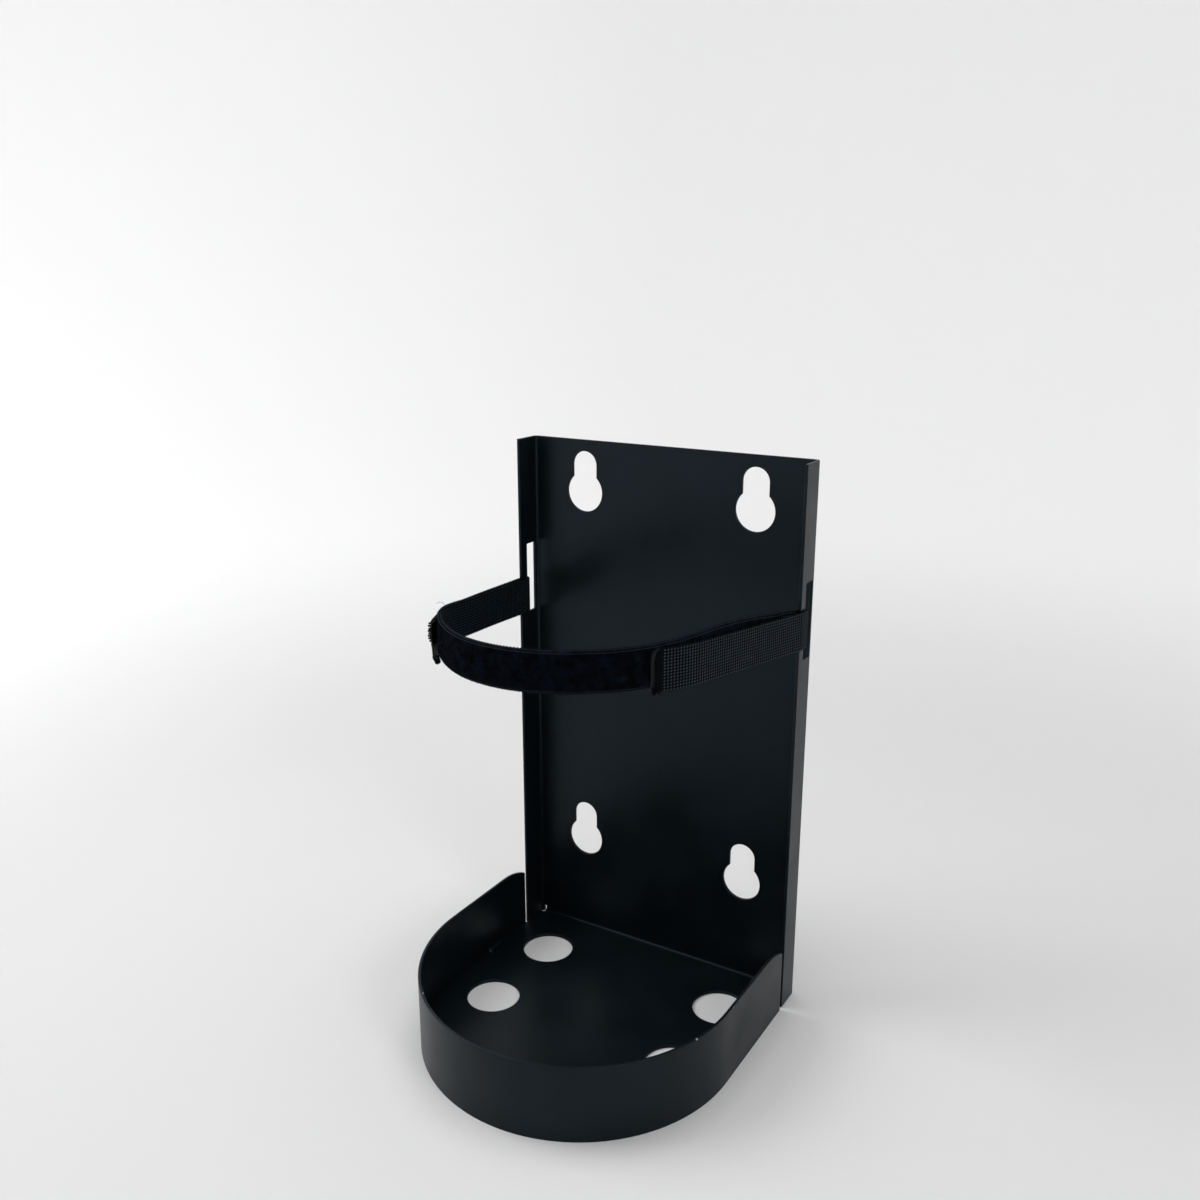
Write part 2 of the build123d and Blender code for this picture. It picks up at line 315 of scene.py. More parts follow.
beads = [bead_on_arc(math.radians(-90 + step * WELD_SPREAD)) for step in (-1, 0, 1)]
beads += [bead_on_side(side) for side in (-1, 1)]
bead_points, bead_faces = [], []
for points, faces in beads:
    bead_faces += [tuple(len(bead_points) + i for i in face) for face in faces]
    bead_points += points
weld_beads = new_piece("rippled_weld_beads", bead_points, bead_faces, powder_coat, "powder_coat")
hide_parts("weld_beads")

# %% [markdown]
# ## The strap's course
# The strap is one woven ribbon about 630 mm long. It goes round the front of the cylinder,
# out through a slot in each flange, round the bar of metal in front of the slot, and back
# over itself, where hooks on the lap hold the loops on the first layer. Seen from above
# that is a line made of arcs and straight runs. Every thread, loop and hook is placed by
# the distance `s` along that one line: 0 at the front, minus on the left side and plus on
# the right. A curve object with a bevel would be shorter, but it can't carry a weave.

# %% Sizes of the strap and of what it goes round, in mm
CYLINDER_RADIUS = 70.0
HALF_WIDTH = 88.0  # from the YZ plane to a flange's outer face
FLANGE_FRONT = 69.5
SLOT_BAR = 6.0  # metal in front of a strap slot
STRAP_WIDTH, WEBBING, LOOP_TAPE, HOOK_TAPE = 20.5, 1.2, 1.5, 1.0
HALF_STRAP = STRAP_WIDTH / 2
CLEARANCE = 0.3
WRAP_RADIUS = CYLINDER_RADIUS + CLEARANCE + WEBBING / 2
LAP_RADIUS = WRAP_RADIUS + WEBBING + LOOP_TAPE + HOOK_TAPE
FOLD_RADIUS = (SHEET + WEBBING) / 2 + CLEARANCE
FOLD_CENTRE = (HALF_WIDTH - SHEET / 2, FLANGE_FRONT + SLOT_BAR - FOLD_RADIUS / 4)
BAR_RADIUS = CLEARANCE + WEBBING / 2
print("the layers' radii are", round(WRAP_RADIUS, 2), "and", round(LAP_RADIUS, 2), "mm")

# %% Tangents, lines and arcs
STEP = 0.05  # mm between the points that the course is worked out at


def touch(centre, span):
    """Direction from the axis to where a line towards `centre` passes it at `span`."""
    return math.atan2(centre[1], centre[0]) - math.acos(span / math.hypot(*centre))


def off_axis(angle, span, run):
    """The point `span` out from the axis in a direction, and `run` on at a right angle."""
    x = span * math.cos(angle) - run * math.sin(angle)
    return x, span * math.sin(angle) + run * math.cos(angle)


def line(start, end):
    count = max(2, int(math.dist(start, end) / STEP))
    return np.linspace(start, end, count)


def arc(centre, radius, start, sweep):
    count = max(6, int(abs(sweep) * radius / STEP))
    angle = start + np.linspace(0, sweep, count)
    x, y = centre[0] + radius * np.cos(angle), centre[1] + radius * np.sin(angle)
    return np.column_stack((x, y))


print("points in a full turn:", len(arc((0, 0), WRAP_RADIUS, 0, 2 * math.pi)))

# %% The course of each half
BEYOND = 4.0  # mm that a course runs on past the webbing's end, for the hook tape
LIFT_RADIUS = 260.0  # mm, the left lap's end has come away in this curve
LIFTED = 19.0  # mm of it
RIGHT_END, LEFT_END = 32.7, 22.0  # degrees in front of the XZ plane that the laps hug up to


def course(end_angle, lifted):
    """Half of the course as x, y and s. The lap hugs the strap up to `end_angle`, then lifts."""
    wrap = touch(FOLD_CENTRE, WRAP_RADIUS + FOLD_RADIUS)
    wrap_run = FOLD_CENTRE[1] * math.cos(wrap) - FOLD_CENTRE[0] * math.sin(wrap)
    corner = (HALF_WIDTH, FLANGE_FRONT)
    lap = touch(corner, LAP_RADIUS - BAR_RADIUS)
    lap_run = corner[1] * math.cos(lap) - corner[0] * math.sin(lap)
    turn = math.pi + wrap
    outside = HALF_WIDTH + BAR_RADIUS
    runs = [
        arc((0, 0), WRAP_RADIUS, -math.pi / 2, math.pi / 2 + wrap),
        line(off_axis(wrap, WRAP_RADIUS, 0), off_axis(wrap, WRAP_RADIUS, wrap_run)),
        arc(FOLD_CENTRE, FOLD_RADIUS, turn, -turn),
        line((outside, FOLD_CENTRE[1]), (outside, FLANGE_FRONT)),
        arc(corner, BAR_RADIUS, 0, lap),
        line(off_axis(lap, LAP_RADIUS, lap_run), off_axis(lap, LAP_RADIUS, 0)),
        arc((0, 0), LAP_RADIUS, lap, -end_angle - lap),
    ]
    if lifted:
        spread = LIFT_RADIUS - LAP_RADIUS
        centre = (-spread * math.cos(end_angle), spread * math.sin(end_angle))
        sweep = (lifted + BEYOND) / LIFT_RADIUS
        runs.append(arc(centre, LIFT_RADIUS, -end_angle, -sweep))
    else:
        runs.append(arc((0, 0), LAP_RADIUS, -end_angle, -BEYOND / LAP_RADIUS))
    points = np.concatenate(runs)
    gaps = np.hypot(*np.diff(points, axis=0).T)
    keep = np.concatenate(([True], gaps > 1e-6))
    points = points[keep]
    s = np.concatenate(([0], np.cumsum(np.hypot(*np.diff(points, axis=0).T))))
    lengths = [float(np.hypot(*np.diff(run, axis=0).T).sum()) for run in runs]
    marks = {
        "fold": sum(lengths[:2]),
        "lap": sum(lengths[:5]),
        "lap_touch": sum(lengths[:6]),
        "end": s[-1] - BEYOND,
    }
    return points, s, marks


right_points, right_s, right = course(math.radians(RIGHT_END), 0)
left_points, left_s, left = course(math.radians(LEFT_END), LIFTED)
print("webbing length in mm:", round(right["end"] + left["end"], 1), right, left)

# %% [markdown]
# ## The strap's height
# Seen from the side the strap isn't level: it is drawn up over the front of the cylinder
# and comes down to each slot. A smooth curve through a few heights gives that, with one
# set of heights for each layer on each side.

# %% A smooth curve through heights
def smooth_curve(places, heights, last_slope):
    """Cubic spline through the points, level at its start. It returns a function of place."""
    x, z = np.array(places), np.array(heights)
    h = np.diff(x)
    count = len(x)
    matrix, right_side = np.zeros((count, count)), np.zeros(count)
    matrix[0, :2] = 2 * h[0], h[0]
    right_side[0] = 6 * (z[1] - z[0]) / h[0]
    matrix[-1, -2:] = h[-1], 2 * h[-1]
    right_side[-1] = 6 * (last_slope - (z[-1] - z[-2]) / h[-1])
    for i in range(1, count - 1):
        matrix[i, i - 1 : i + 2] = h[i - 1], 2 * (h[i - 1] + h[i]), h[i]
        right_side[i] = 6 * ((z[i + 1] - z[i]) / h[i] - (z[i] - z[i - 1]) / h[i - 1])
    bend = np.linalg.solve(matrix, right_side)

    def height(at):
        at = np.clip(at, x[0], x[-1])
        i = np.clip(np.searchsorted(x, at, "right") - 1, 0, count - 2)
        a, b = (x[i + 1] - at) / h[i], (at - x[i]) / h[i]
        rounding = ((a**3 - a) * bend[i] + (b**3 - b) * bend[i + 1]) * h[i] ** 2 / 6
        return a * z[i] + b * z[i + 1] + rounding

    return height


print("halfway up a step of 1, level at both ends:", smooth_curve((0, 1), (0, 1), 0)(0.5))

# %% Height of each layer, in mm
FRONT_LEVEL = 232.3
FOLD_START = FLANGE_FRONT + SLOT_BAR / 4


def layer_height(front, stations, fold_level):
    """Height of a layer's middle as a function of y, from the cylinder's front to a fold.

    A station is a share of the way and the height there.
    """
    start, span = -CYLINDER_RADIUS, FOLD_START + CYLINDER_RADIUS
    places = [start] + [start + share * span for share, _ in stations] + [FOLD_START]
    heights = [front] + [level for _, level in stations] + [fold_level]
    slope = (heights[-1] - heights[-2]) / (places[-1] - places[-2])
    return smooth_curve(places, heights, slope)


first_right = layer_height(FRONT_LEVEL, ((0.40, 233.3), (0.72, 230.6)), 224.4)
first_left = layer_height(FRONT_LEVEL, ((0.10, 233.6), (0.26, 230.6), (0.65, 223.6)), 218.0)
lap_right = layer_height(232.1, ((0.50, 229.0),), 224.4)
lap_left = layer_height(226.0, ((0.40, 225.0),), 218.0)
print("the first layer meets the folds at", first_left(FOLD_START), first_right(FOLD_START), "mm")

# %% [markdown]
# ## Slip and lift
# A used strap isn't perfect. The first layer has slipped down a little at the front left,
# and the left lap's end has come away, at its top more than at its lower corner. Both are
# in the one formula that every thread goes through, so that all of them move together. A
# cloth simulation would do it too, but not to a chosen shape.

# %% From a distance on the strap to a point in space
SLIP_AT = (-100, -80, -66, -55, -45, -32, -16, 0, 20, 40)  # mm along the strap
SLIP = (0.0, 0.0, -0.9, -2.7, -2.9, -2.2, -1.6, -1.2, -0.5, 0.0)  # mm
SLIP_STEP, ROUNDED_OVER = 0.5, 25  # mm between points, and how many of them round a kink
CLINGS_BELOW = 2.5  # mm above the lap's middle
CLING_SPAN = 1.1  # widths of the strap over which the cling would undo all of the lift
fine = np.arange(SLIP_AT[0], SLIP_AT[-1] + SLIP_STEP, SLIP_STEP)
rounding = np.hanning(ROUNDED_OVER) / np.hanning(ROUNDED_OVER).sum()
slipped = np.convolve(np.interp(fine, SLIP_AT, SLIP), rounding, mode="same")
NEARBY = 0.15  # mm to each side, for the strap's direction
HALF_FOLD = FOLD_RADIUS * 1.5  # mm, about halfway round the fold, where a lap's height starts


def at(s):
    """Place x, y, height z, and outward direction nx, ny of the webbing's middle at each s."""
    s = np.asarray(s, float)
    side = np.where(s < 0, -1.0, 1.0)
    d = np.abs(s)
    x, y, z, tx, ty = (np.zeros_like(s) for _ in range(5))
    for this, points, along, marks, first, lap in (
        (s >= 0, right_points, right_s, right, first_right, lap_right),
        (s < 0, left_points, left_s, left, first_left, lap_left),
    ):
        x[this], y[this] = (np.interp(d[this], along, points[:, k]) for k in (0, 1))
        ahead, behind = d[this] + NEARBY, np.maximum(d[this] - NEARBY, 0)
        dx, dy = (
            np.interp(ahead, along, axis) - np.interp(behind, along, axis) for axis in points.T
        )
        size = np.hypot(dx, dy)
        tx[this], ty[this] = dx / size, dy / size
        z[this] = np.where(d[this] < marks["fold"] + HALF_FOLD, first(y[this]), lap(y[this]))
    z = z + np.interp(s, fine, slipped, left=0, right=0)
    return side * x, y, z, side * ty, -tx


def spread_out(s, v, offset):
    """Points at distance s along the strap, v up from its middle and `offset` off its face."""
    s, v, offset = np.broadcast_arrays(s, v, offset)
    # the course lifts the left lap's end, and here its lower part is drawn back to the pile
    lifted = np.clip(-s - left["end"] + LIFTED, 0, None) ** 2 / 2
    lifted = lifted * (1 / LAP_RADIUS - 1 / LIFT_RADIUS)
    offset = offset + lifted * np.clip((CLINGS_BELOW - v) / (STRAP_WIDTH * CLING_SPAN), 0, 1)
    x, y, z, nx, ny = at(s)
    return np.stack((x + nx * offset, y + ny * offset, z + v), axis=-1).reshape(-1, 3)


for s in (-left["end"], -100, 0, 100, right["end"]):
    x, y, z = spread_out([s], 0, 0)[0]
    print("middle of the strap at", round(s, 1), "is", round(x, 1), round(y, 1), round(z, 1))

# %% [markdown]
# ## Webbing
# The strap's base is a plain weave of thick nylon yarn: warp yarns run along it, weft yarns
# cross it, and each goes over one and under the next. The eye sees rows of small nubs with
# dark holes between them. Modelling every yarn as a tube would take millions of faces, so
# the ribbon is a closed skin whose height follows the upper one of the two yarns at each
# point. `hole` keeps how deep a point lies, and the material paints shade into the holes
# with it.

# %% The weave
WARP_YARNS = 14  # the real webbing has 16, drawn a little coarser so that they show
WARP_PITCH = STRAP_WIDTH / WARP_YARNS  # mm, across the strap
WEFT_PITCH = 1.8  # mm from one weft yarn to the next, along the strap
YARN_LIFT, YARN_HALF = 0.24, 0.26  # mm: how far a yarn weaves up, and half its thickness
WARP_HALF, WEFT_HALF = 0.42, 0.40  # half a yarn's width, as a share of its pitch
RELIEF = YARN_LIFT + YARN_HALF


def weave(s, v, face):
    """Height of the yarn on top, from 0 in a hole to RELIEF on a nub. `face` is 0 or 1."""
    along, across = s / WEFT_PITCH, v / WARP_PITCH + 0.5
    j, i = np.round(along), np.round(across)
    warp = YARN_LIFT * np.cos(math.pi * (along + i + face))
    weft = -YARN_LIFT * np.cos(math.pi * (across + j + face))
    warp += YARN_HALF * np.sqrt(np.clip(1 - ((across - i) / WARP_HALF) ** 2, 0, 1))
    weft += YARN_HALF * np.sqrt(np.clip(1 - ((along - j) / WEFT_HALF) ** 2, 0, 1))
    return np.clip(np.maximum(warp, weft), 0, RELIEF)


print("a nub stands", RELIEF, "mm over a hole")

# %% A ribbon of webbing, with its edges and cut ends
SAMPLES_PER_YARN, PLAIN_SAMPLES = 4, 8  # faces across a yarn, and across a plain hidden face
LOW_CORNER, HIGH_CORNER = 1.2, 3.6  # mm, radii of the two corners of a cut end
SCALLOP, EDGE_OUT = 0.32, 0.16  # mm that the weft's turns stand out at an edge
ROUND_EDGE = 0.5  # mm over which the ribbon thins towards its edge
EDGE_THICKNESS, EXTRA_INSIDE = 0.55, 0.45  # shares of its thickness
SEALED, FLATTEST = 3.2, 0.3  # mm at a cut end that heat has flattened, and to what share
# painted shade: an edge gets this depth, so the material darkens it like a hole
EDGE_SHADE = 0.9  # how dark an edge is, from 0 on a nub to 1 in a hole
PLAIN_LEVEL = 0.8  # the plain face's height, as a share of a nub's


def corner_cut(distance, radius):
    """How much a rounded corner takes off the width at this distance from the end."""
    short = np.clip(radius - distance, 0, radius)
    return radius - np.sqrt(radius**2 - short**2)


def ribbon(s, to_end, plain_face=False):
    """Points, faces and hole depths of webbing. `to_end` is each s's distance to a cut end."""
    share = np.linspace(-0.5, 0.5, WARP_YARNS * SAMPLES_PER_YARN + 1)
    coarse = np.linspace(-0.5, 0.5, PLAIN_SAMPLES + 1)
    low = -HALF_STRAP + corner_cut(to_end, LOW_CORNER)
    high = HALF_STRAP - corner_cut(to_end, HIGH_CORNER)
    middle, width = (low + high) / 2, high - low
    # the weft turns back at each edge, so the edge is scalloped
    scallop = SCALLOP * np.cos(2 * math.pi * s / WEFT_PITCH)
    sealed = np.clip(to_end / SEALED, FLATTEST, 1.0)
    rings, depths = [], []
    for face, shares, side in ((0, coarse if plain_face else share, 1), (1, share[::-1], -1)):
        v = middle[:, None] + width[:, None] * shares
        thread = weave(s[:, None], v, face) * sealed[:, None]
        if plain_face and face == 0:
            thread = np.full_like(v, RELIEF * PLAIN_LEVEL)
        rim = np.clip((0.5 - np.abs(shares)) * width[:, None] / ROUND_EDGE, 0, 1) ** 0.5
        height = (WEBBING / 2 - RELIEF + thread) * (EDGE_THICKNESS + EXTRA_INSIDE * rim)
        rings.append((v, side * height))
        depths.append(1 - thread / RELIEF)
        edge = middle + width * shares[-1] + side * (EDGE_OUT + scallop)
        rings.append((edge[:, None], np.zeros((len(s), 1))))
        depths.append(np.full((len(s), 1), EDGE_SHADE))
    v = np.concatenate([r[0] for r in rings], axis=1)
    offset = np.concatenate([r[1] for r in rings], axis=1)
    points = spread_out(s[:, None], v, offset)
    hole = np.concatenate(depths, axis=1).ravel()
    return points, ring_faces(len(s), v.shape[1]), hole


def ring_faces(count, sides):
    """Faces of a closed tube of `count` rings with `sides` points each, with both ends shut."""
    i, j = np.meshgrid(np.arange(count - 1), np.arange(sides), indexing="ij")
    i, j = i.ravel(), j.ravel()
    this, after, next_j = i * sides, (i + 1) * sides, (j + 1) % sides
    quads = np.stack((this + j, after + j, after + next_j, this + next_j), 1)
    ends = [tuple(range(sides)), tuple(range(count * sides - 1, (count - 1) * sides - 1, -1))]
    return quads.tolist() + ends


print("a ring of woven ribbon has", 2 * (WARP_YARNS * SAMPLES_PER_YARN + 2), "points")

# %% [markdown]
# ## Nylon for the webbing
# Webbing is woven from bundles of fine nylon filaments, dyed black. The nubs shine a little
# because the filaments lie side by side there, and the holes swallow the light; the base
# colour paints both, a light grey on the nubs as a painted highlight and near black in the
# holes as painted shade. Sheen stands for the stray fibres that stick up from every yarn.

# %% Webbing material
FILAMENT = 0.22  # mm; real filaments are near 0.03, drawn coarser so that they show
FILAMENT_DEPTH = 0.04  # mm
DYE = 5.0  # mm, patches of slightly lighter yarn
# painted shade: the base colour turns near black with a point's depth in a hole
HOLE_SHADE_FULL = 0.24  # depth at which a hole is fully dark
webbing_nylon, tree, shader, spot = new_material(
    "woven_black_nylon",
    Roughness=0.5,
    IOR=1.53,
    Specular_IOR_Level=0.04,
    Specular_Tint=linear("#d4e2f2"),
    Sheen_Weight=0.01,
    Sheen_Roughness=0.4,
    Sheen_Tint=linear("#8d949c"),
)
hole = add_node(tree, "Attribute", {"attribute_name": "hole"})
dye = add_node(tree, "TexNoise", {"Scale": 1000 / DYE, "Detail": 3.0}, {"Vector": spot})
# painted highlight: a light grey base colour on the nubs stands in for their shine, in patches
# that follow the real dye
dye_and_nub_highlight = add_node(
    tree, "Mix", {"data_type": "RGBA", 6: linear("#28343b"), 7: linear("#4c5e69")},
    {"Factor": dye.outputs["Fac"]}
)
hole_shade = add_node(
    tree, "MapRange", {"From Min": 0.0, "From Max": HOLE_SHADE_FULL}, {"Value": hole.outputs["Fac"]}
)
# the base colour: a painted highlight on the nubs, turning to painted shade in the holes
nub_highlight_hole_shade = add_node(
    tree, "Mix", {"data_type": "RGBA", 7: linear("#010102")},
    {"Factor": hole_shade.outputs["Result"], 6: dye_and_nub_highlight.outputs[2]}
)
filaments = add_node(tree, "TexNoise", {"Scale": 1000 / FILAMENT, "Detail": 1.0}, {"Vector": spot})
bumped = add_node(
    tree, "Bump", {"Strength": 0.5, "Distance": FILAMENT_DEPTH * MM},
    {"Height": filaments.outputs["Fac"]}
)
wire(tree, shader, Base_Color=nub_highlight_hole_shade.outputs[2], Normal=bumped.outputs["Normal"])
print("filaments drawn at", FILAMENT, "mm")

# %% [markdown]
# ## Three lengths of one webbing
# The strap is drawn as three pieces that meet at weave crossings: the length under the loop
# tape, whose outer face is hidden and can be plain, and the two ends, each with its fold
# round the bar and its lap.

# %% Webbing pieces
LOOP_STOP = 14.0  # mm before the bar that the loop tape ends
OVERLAP = 2.0  # mm that it reaches past the joint between two pieces of webbing
NO_CUT_END = 1e3  # mm, stands for a cut end that is far away
STEPS_PLAIN, STEPS_WOVEN = 4, 6  # rings to each weft yarn
tape_end = right["fold"] - SLOT_BAR - LOOP_STOP
joint = round((tape_end - OVERLAP) / WEFT_PITCH) * WEFT_PITCH


def stations(start, end, per_crossing):
    """Distances from `start` to `end`, with `per_crossing` of them to each weft yarn."""
    step = WEFT_PITCH / per_crossing
    return np.append(np.arange(start, end - step / 2, step), end)


def webbing_piece(name, s, to_end, plain_face=False):
    points, faces, hole = ribbon(s, to_end, plain_face)
    return new_piece(name, points, faces, webbing_nylon, "webbing", {"hole": hole})


s = stations(-joint, joint, STEPS_PLAIN)
no_end = np.full(len(s), NO_CUT_END)
webbing_round = webbing_piece("webbing_round_cylinder", s, no_end, plain_face=True)
ends = {}
for side, marks, name in ((1, right, "webbing_end_right"), (-1, left, "webbing_end_left")):
    s = stations(joint, marks["end"], STEPS_WOVEN)
    to_end = marks["end"] - s
    if side < 0:
        s, to_end = -s[::-1], to_end[::-1]
    ends[side] = webbing_piece(name, s, to_end)
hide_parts("strap_webbing")
for piece in ends.values():
    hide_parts("strap_webbing")

# %% [markdown]
# ## Threads and fibres
# Loops, hooks, stitches and frayed ends are all thin tubes. One function makes any number
# of them at once: it takes each tube's centre line as a few points and puts a small
# polygon round every point. Curve objects would do the same one at a time, far slower.

# %% Tubes along many short lines
dice = np.random.default_rng(20)
STRAIGHT = 1e-4  # a line whose bend is below this has no plane of its own


def tubes(lines, radius, sides):
    """Points and faces of closed tubes. `lines` has shape (tubes, points on each, 3)."""
    many, along, _ = lines.shape
    direction = np.gradient(lines, axis=1)
    direction /= np.linalg.norm(direction, axis=2, keepdims=True)
    chord = lines[:, -1] - lines[:, 0]
    other = np.cross(chord, dice.normal(size=(many, 3)))
    bend = lines[:, along // 2] - (lines[:, 0] + lines[:, -1]) / 2
    plane = np.cross(chord, bend)
    straight = np.linalg.norm(plane, axis=1) < STRAIGHT
    plane[straight] = other[straight]
    plane /= np.linalg.norm(plane, axis=1, keepdims=True)
    first = np.cross(direction, plane[:, None, :])
    first /= np.linalg.norm(first, axis=2, keepdims=True)
    second = np.cross(direction, first)
    turn = 2 * math.pi * np.arange(sides) / sides
    ring = first[:, :, None, :] * np.cos(turn)[:, None]
    ring = ring + second[:, :, None, :] * np.sin(turn)[:, None]
    points = lines[:, :, None, :] + ring * radius
    t, i, j = np.meshgrid(np.arange(many), np.arange(along - 1), np.arange(sides), indexing="ij")
    this, next_j = (t * along + i) * sides, (j + 1) % sides
    after = this + sides
    quads = np.stack((this + j, this + next_j, after + next_j, after + j), -1).reshape(-1, 4)
    first_ring = np.arange(many)[:, None] * along * sides + np.arange(sides)
    last_ring = first_ring + (along - 1) * sides
    faces = quads.tolist() + first_ring[:, ::-1].tolist() + last_ring.tolist()
    return points.reshape(-1, 3), faces


def thread_piece(name, lines, radius, sides, material, slot):
    """One piece of many tubes along lines given as (s, v, offset) on the strap."""
    lines = np.asarray(lines, float)
    placed = spread_out(lines[..., 0], lines[..., 1], lines[..., 2]).reshape(lines.shape)
    return new_piece(name, *tubes(placed, radius, sides), material, slot)


print("the dice are fixed, so every run gives the same threads")

# %% [markdown]
# ## Loop tape
# The soft half of a hook-and-loop fastener is a knitted nylon ground from which thousands
# of fine loops stand up, brushed into a matt fleece. Along both edges runs a flat selvage
# with a row of small stitches. The ground is a closed strip with a lumpy top, and real
# loops stand on it, so that light catches single fibres and the edge looks soft.

# %% Loop pile material
NAP = 5.0  # mm, patches where the pile leans one way
pile_nylon, tree, shader, spot = new_material(
    "brushed_loop_pile", Roughness=0.85, IOR=1.53, Specular_IOR_Level=0.02, Sheen_Weight=0.05,
    Sheen_Roughness=0.55, Sheen_Tint=linear("#5f6f8c")
)
# painted sheen: patches where the pile leans one way get a lighter base colour, standing in for
# the light they catch
nap = add_node(tree, "TexNoise", {"Scale": 1000 / NAP, "Detail": 4.0}, {"Vector": spot})
nap_sheen_share = add_node(
    tree, "MapRange", {"From Min": 0.35, "From Max": 0.68}, {"Value": nap.outputs["Fac"]}
)
painted_nap_sheen = add_node(
    tree, "Mix", {"data_type": "RGBA", 6: linear("#020304"), 7: linear("#0c121b")},
    {"Factor": nap_sheen_share.outputs["Result"]}
)
wire(tree, shader, Base_Color=painted_nap_sheen.outputs[2])
print("material:", pile_nylon.name)

# %% [markdown]
# ## Sewing thread
# The tapes are sewn on with black nylon thread, twisted from a few plies. Each turn of the
# twist catches a little light, so a fine noise between two greys is enough for it.

# %% Sewing thread material
PLY = 0.3  # mm, one turn of the twist
thread_nylon, tree, shader, spot = new_material(
    "twisted_sewing_thread", Roughness=0.45, IOR=1.53, Specular_IOR_Level=0.08
)
ply = add_node(tree, "TexNoise", {"Scale": 1000 / PLY, "Detail": 1.0}, {"Vector": spot})
twisted = add_node(
    tree, "Mix", {"data_type": "RGBA", 6: linear("#14171b"), 7: linear("#3a404a")},
    {"Factor": ply.outputs["Fac"]}
)
wire(tree, shader, Base_Color=twisted.outputs[2])
print("material:", thread_nylon.name)

# %% [markdown]
# ## The ground of the tape
# The ground is one closed strip. Its top is lumpy where the pile grows and flat at the two
# selvages, and its back is sunk a little in the webbing, so that no gap shows between them.

# %% Ground strip, in mm
TAPE_HALF = HALF_STRAP - 0.4  # half the width of a tape
TAPE_EDGE = 0.05  # how far its edge wanders
SELVAGE, SELVAGE_RISE = 1.15, 0.4  # flat edge without loops, and the step up from it
FACE = WEBBING / 2  # offset of the webbing's face from its middle
PILE_GROUND, SELVAGE_GROUND, EDGE_GROUND = 1.15, 0.72, 0.45  # heights over the face
KNIT, KNIT_PITCH = 0.04, 0.9  # ribs across the selvage
ROUGH, LUMPY = 0.05, 0.07  # single points and lumps of five by five of them
SUNK = 0.1
GROUND_GRAIN, GROUND_SAMPLES = 0.45, 45  # between points along it, and points across it
BACK_SAMPLES = 5


def strip(s, low, high, outer, inner):
    """A closed strip from `inner` to `outer` offset. `outer` is (stations, points across)."""
    across = np.linspace(0, 1, outer.shape[1])
    back = np.linspace(1, 0, BACK_SAMPLES)
    v_out = low[:, None] + (high - low)[:, None] * across
    v_in = low[:, None] + (high - low)[:, None] * back
    v = np.concatenate((v_out, v_in), axis=1)
    offset = np.concatenate((outer, np.full(v_in.shape, inner)), axis=1)
    return spread_out(s[:, None], v, offset), ring_faces(len(s), v.shape[1])


s = np.arange(-tape_end, tape_end + 0.01, GROUND_GRAIN)
v = np.linspace(-TAPE_HALF, TAPE_HALF, GROUND_SAMPLES)
rough = dice.normal(size=(len(s), len(v)))
near = range(-2, 3)
lumps = sum(np.roll(np.roll(rough, i, 0), j, 1) for i in near for j in near) / len(near)
top = FACE + PILE_GROUND + ROUGH * rough + LUMPY * lumps
pile = np.clip((TAPE_HALF - np.abs(v) - SELVAGE) / SELVAGE_RISE, 0, 1)
flat = FACE + SELVAGE_GROUND + KNIT * np.cos(2 * math.pi * s / KNIT_PITCH)
top = flat[:, None] * (1 - pile) + top * pile
top[:, [0, -1]] = FACE + EDGE_GROUND
edge = TAPE_HALF + TAPE_EDGE * dice.normal(size=len(s))
points, faces = strip(s, -edge, edge, top, FACE - SUNK)
loop_ground = new_piece("loop_tape_ground", points, faces, pile_nylon, "loop_pile")
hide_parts("loop_tape")

# %% [markdown]
# ## Loops of the pile
# Each loop is a small arch of four points that stands at random on the ground. Most of them
# are where the pile is open to the eye. Under the laps they are pressed flat and few.

# %% Pile loops
FIBRE = 0.075  # mm, radius of a loop's fibre; the real one is near 0.02
LOOP_ROOT = 1.08  # mm over the face, a little inside the ground
LOOP_REACH, LOOP_HEIGHT = (0.22, 0.42), (0.25, 0.5)  # mm, half a loop's span, and its height
LOOP_LEAN = 0.12  # mm
LOOP_ARCH = ((-1, 0), (-0.75, 0.85), (0.75, 1), (1, 0))  # shares of reach and of height
LOOPS_SHOWN, LOOPS_UNDER_LAPS = 9000, 2600
OPEN_PILE = 56.0  # degrees to each side of the front that no lap covers
OPEN_LEFT, OPEN_RIGHT = 12, 3  # mm of open pile past that
TAPE_TIP = 1  # mm at the tape's ends without loops
lap_starts = WRAP_RADIUS * math.radians(OPEN_PILE)
pile_half = TAPE_HALF - SELVAGE


def pile_loops(count, low, high):
    """Centre lines of loops between two distances along the strap."""
    s = dice.uniform(low, high, count)
    v = dice.uniform(-pile_half, pile_half, count)
    heading = dice.uniform(0, 2 * math.pi, count)
    reach = dice.uniform(*LOOP_REACH, count)
    tall = dice.uniform(*LOOP_HEIGHT, count)
    lean = dice.normal(0, LOOP_LEAN, (count, 2))
    base = FACE + LOOP_ROOT
    lines = np.zeros((count, len(LOOP_ARCH), 3))
    for k, (side, rise) in enumerate(LOOP_ARCH):
        lines[:, k, 0] = s + side * reach * np.cos(heading) + lean[:, 0] * rise
        lines[:, k, 1] = v + side * reach * np.sin(heading) + lean[:, 1] * rise
        lines[:, k, 2] = base + tall * rise
    return lines


